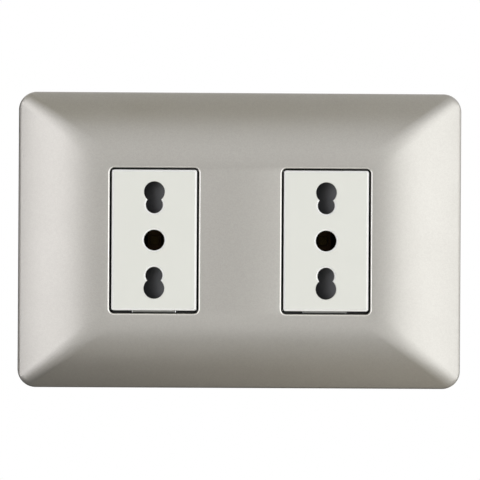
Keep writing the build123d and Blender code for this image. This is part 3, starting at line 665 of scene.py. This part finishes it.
cover_plate()
fixing_screws()
dress({"support_frame": FRAME_GREY})
for side, x in (("left", -MODULE_X), ("right", MODULE_X)):
    shutter_spring(side, x)
    clamp_screws(side, x)
    dress({side + "_face": WHITE, side + "_base": BLACK, side + "_shutter": SHUTTER_GREY})
    for pole in ("_upper", "_lower", "_earth"):
        dress({side + pole + "_contact": BRONZE, side + pole + "_terminal": BRASS})


# Studio

FLOOR_Z = -0.6
FLOOR_HALF = 2.0
FLOOR_LIFT = 0.75
CAMERA_DISTANCE = 0.95
CAMERA_FOCAL = 278.85
CAMERA_SENSOR = 36.0
CAMERA_TURN = 1.1
CAMERA_ROLL = -0.33
CAMERA_AIM = (-0.00006, -0.0098, 0.00014)
AMBIENT = 0.2
SOFTBOX_DISTANCE = 1.2
SOFTBOX_ANGLE = {-1: 45.0, 1: 47.5}
SOFTBOX_RISE = {-1: 0.08, 1: -0.1}
SOFTBOX_SHAPE = {-1: "RECTANGLE", 1: "ELLIPSE"}
SOFTBOX_WIDTH = {-1: 0.95, 1: 1.4}
SOFTBOX_HEIGHT = {-1: 1.1, 1: 1.6}
SOFTBOX_POWER = {-1: 6.5, 1: 11.9}
SOFTBOX_TINT = {-1: (0.935, 0.94, 1.0), 1: (0.945, 0.97, 1.0)}
FILL_SIZE = 0.6
FILL_PLACE = (0, -1.1, 0.75)
FILL_POWER = 1.6
BACK_PLACE = (0.5, 1.1, 0.8)
BACK_POWER = 10.0
FLAG_FADE = 0.12

# Cards beside the object: two corners in metres, and the shades at their left and right
FLAGS = {
    "upper_flag": ((-0.9, -0.72, 0.8), (0.22, -0.21, 0.802), "#c6bfa6", "#cac3aa"),
    "lower_flag": ((-0.9, -0.4, -0.402), (0.15, -0.02, -0.4), "#2a2822", "#fff6e2"),
    "under_flag": ((-0.9, -0.02, -0.402), (0.2, 0.8, -0.4), "#403d38", "#403d38"),
    "left_flag": ((-0.802, -0.32, -0.5), (-0.8, 0.8, 0.6), "#55524c", "#55524c"),
}


def white_studio():
    """White surroundings for the camera and for reflections, with a little even fill."""
    world = bpy.data.worlds.new("white studio")
    world.use_nodes = True
    tree = world.node_tree
    tree.nodes.clear()
    path = node(tree, "ShaderNodeLightPath")
    glossy = node(tree, "ShaderNodeMath", {"operation": "ADD"},
                  {0: path.outputs["Is Camera Ray"], 1: path.outputs["Is Glossy Ray"]})
    seen = node(tree, "ShaderNodeMath", {"operation": "ADD", "use_clamp": True},
                {0: glossy.outputs[0], 1: path.outputs["Is Transmission Ray"]})
    strength = node(tree, "ShaderNodeMapRange",
                    inputs={"Value": seen.outputs[0], "To Min": AMBIENT, "To Max": 1.0})
    back = node(tree, "ShaderNodeBackground",
                inputs={"Color": (1.0, 1.0, 1.0, 1.0), "Strength": strength.outputs["Result"]})
    node(tree, "ShaderNodeOutputWorld", inputs={"Surface": back.outputs["Background"]})
    bpy.context.scene.world = world


def pale_floor():
    """Plain pale floor well below the object, lifted to an even tone where it is seen directly."""
    material, tree = finish("pale floor")
    path = node(tree, "ShaderNodeLightPath")
    seen = node(tree, "ShaderNodeMath", {"operation": "MULTIPLY"},
                {0: path.outputs["Is Camera Ray"], 1: FLOOR_LIFT})
    shader = node(tree, "ShaderNodeBsdfDiffuse", inputs={"Color": colour("#e6e2d8")})
    glow = node(tree, "ShaderNodeEmission", inputs={"Color": colour("#f4f2ec"), "Strength": 1.0})
    even = node(tree, "ShaderNodeMixShader",
                inputs={0: seen.outputs[0], 1: shader.outputs["BSDF"], 2: glow.outputs["Emission"]})
    node(tree, "ShaderNodeOutputMaterial", inputs={"Surface": even.outputs["Shader"]})
    bm = bmesh.new()
    bmesh.ops.create_grid(bm, x_segments=1, y_segments=1, size=FLOOR_HALF,
                          matrix=Matrix.Translation((0, 0, FLOOR_Z)))
    mesh = bpy.data.meshes.new("floor")
    bm.to_mesh(mesh)
    bm.free()
    mesh.materials.append(material)
    floor = bpy.data.objects.new("floor", mesh)
    bpy.context.scene.collection.objects.link(floor)


def flag(name, low, high, left_shade, right_shade):
    """Card beside the object that keeps that flank quiet, shaded from left to right, which the camera
    doesn't see."""
    material, tree = finish(name + " card")
    place = node(tree, "ShaderNodeSeparateXYZ",
                 inputs={"Vector": node(tree, "ShaderNodeTexCoord").outputs["Object"]})
    across = node(tree, "ShaderNodeMapRange",
                  inputs={"Value": place.outputs["X"], "From Min": -FLAG_FADE, "From Max": FLAG_FADE})
    tone = node(tree, "ShaderNodeMix", {"data_type": "RGBA"},
                {"Factor": across.outputs["Result"], 6: colour(left_shade), 7: colour(right_shade)})
    shader = node(tree, "ShaderNodeBsdfDiffuse", inputs={"Color": tone.outputs[2]})
    node(tree, "ShaderNodeOutputMaterial", inputs={"Surface": shader.outputs["BSDF"]})
    low, high = Vector(low), Vector(high)
    bm = bmesh.new()
    middle = Matrix.Translation((low + high) / 2)
    bmesh.ops.create_cube(bm, size=1.0, matrix=middle @ Matrix.Diagonal((*(high - low), 1.0)))
    mesh = bpy.data.meshes.new(name)
    bm.to_mesh(mesh)
    bm.free()
    mesh.materials.append(material)
    card = bpy.data.objects.new(name, mesh)
    card.visible_camera = False
    card.visible_diffuse = False
    card.visible_shadow = False
    bpy.context.scene.collection.objects.link(card)


def fill_lamp(name, place, power):
    """Soft square lamp turned to the object, kept out of reflections."""
    lamp = bpy.data.lights.new(name, "AREA")
    lamp.shape = "SQUARE"
    lamp.size = FILL_SIZE
    lamp.energy = power
    fill = bpy.data.objects.new(name, lamp)
    fill.location = place
    fill.rotation_euler = (-Vector(place)).to_track_quat("-Z", "Y").to_euler()
    fill.visible_glossy = False
    bpy.context.scene.collection.objects.link(fill)


def softbox(side):
    """Large soft box beside the camera, turned to the object."""
    turn = math.radians(SOFTBOX_ANGLE[side]) * side
    lamp = bpy.data.lights.new("softbox", "AREA")
    lamp.shape = SOFTBOX_SHAPE[side]
    lamp.size = SOFTBOX_WIDTH[side]
    lamp.size_y = SOFTBOX_HEIGHT[side]
    lamp.energy = SOFTBOX_POWER[side]
    lamp.color = SOFTBOX_TINT[side]
    box = bpy.data.objects.new("softbox", lamp)
    level = Vector((math.sin(turn), -math.cos(turn), 0)) * SOFTBOX_DISTANCE
    box.location = level + Vector((0, 0, SOFTBOX_RISE[side]))
    box.rotation_euler = (math.radians(90), 0, turn)
    bpy.context.scene.collection.objects.link(box)


def straight_on_camera():
    """Long lens before the plate, a touch from the left, with the slight tilt of the picture."""
    lens = bpy.data.cameras.new("camera")
    lens.sensor_width = CAMERA_SENSOR
    lens.lens = CAMERA_FOCAL * CAMERA_DISTANCE
    camera = bpy.data.objects.new("camera", lens)
    turn = math.radians(CAMERA_TURN)
    camera.location = Vector(CAMERA_AIM) - CAMERA_DISTANCE * Vector((math.sin(turn), math.cos(turn), 0))
    look = Matrix.Rotation(-turn, 4, "Z") @ Matrix.Rotation(math.radians(CAMERA_ROLL), 4, "Y")
    camera.rotation_euler = (look @ Matrix.Rotation(math.radians(90), 4, "X")).to_euler()
    bpy.context.scene.collection.objects.link(camera)
    bpy.context.scene.camera = camera


white_studio()
pale_floor()
for flag_name, card in FLAGS.items():
    flag(flag_name, *card)
softbox(-1)
softbox(1)
fill_lamp("front fill", FILL_PLACE, FILL_POWER)
fill_lamp("back fill", BACK_PLACE, BACK_POWER)
straight_on_camera()
bpy.context.scene.view_settings.view_transform = "Standard"
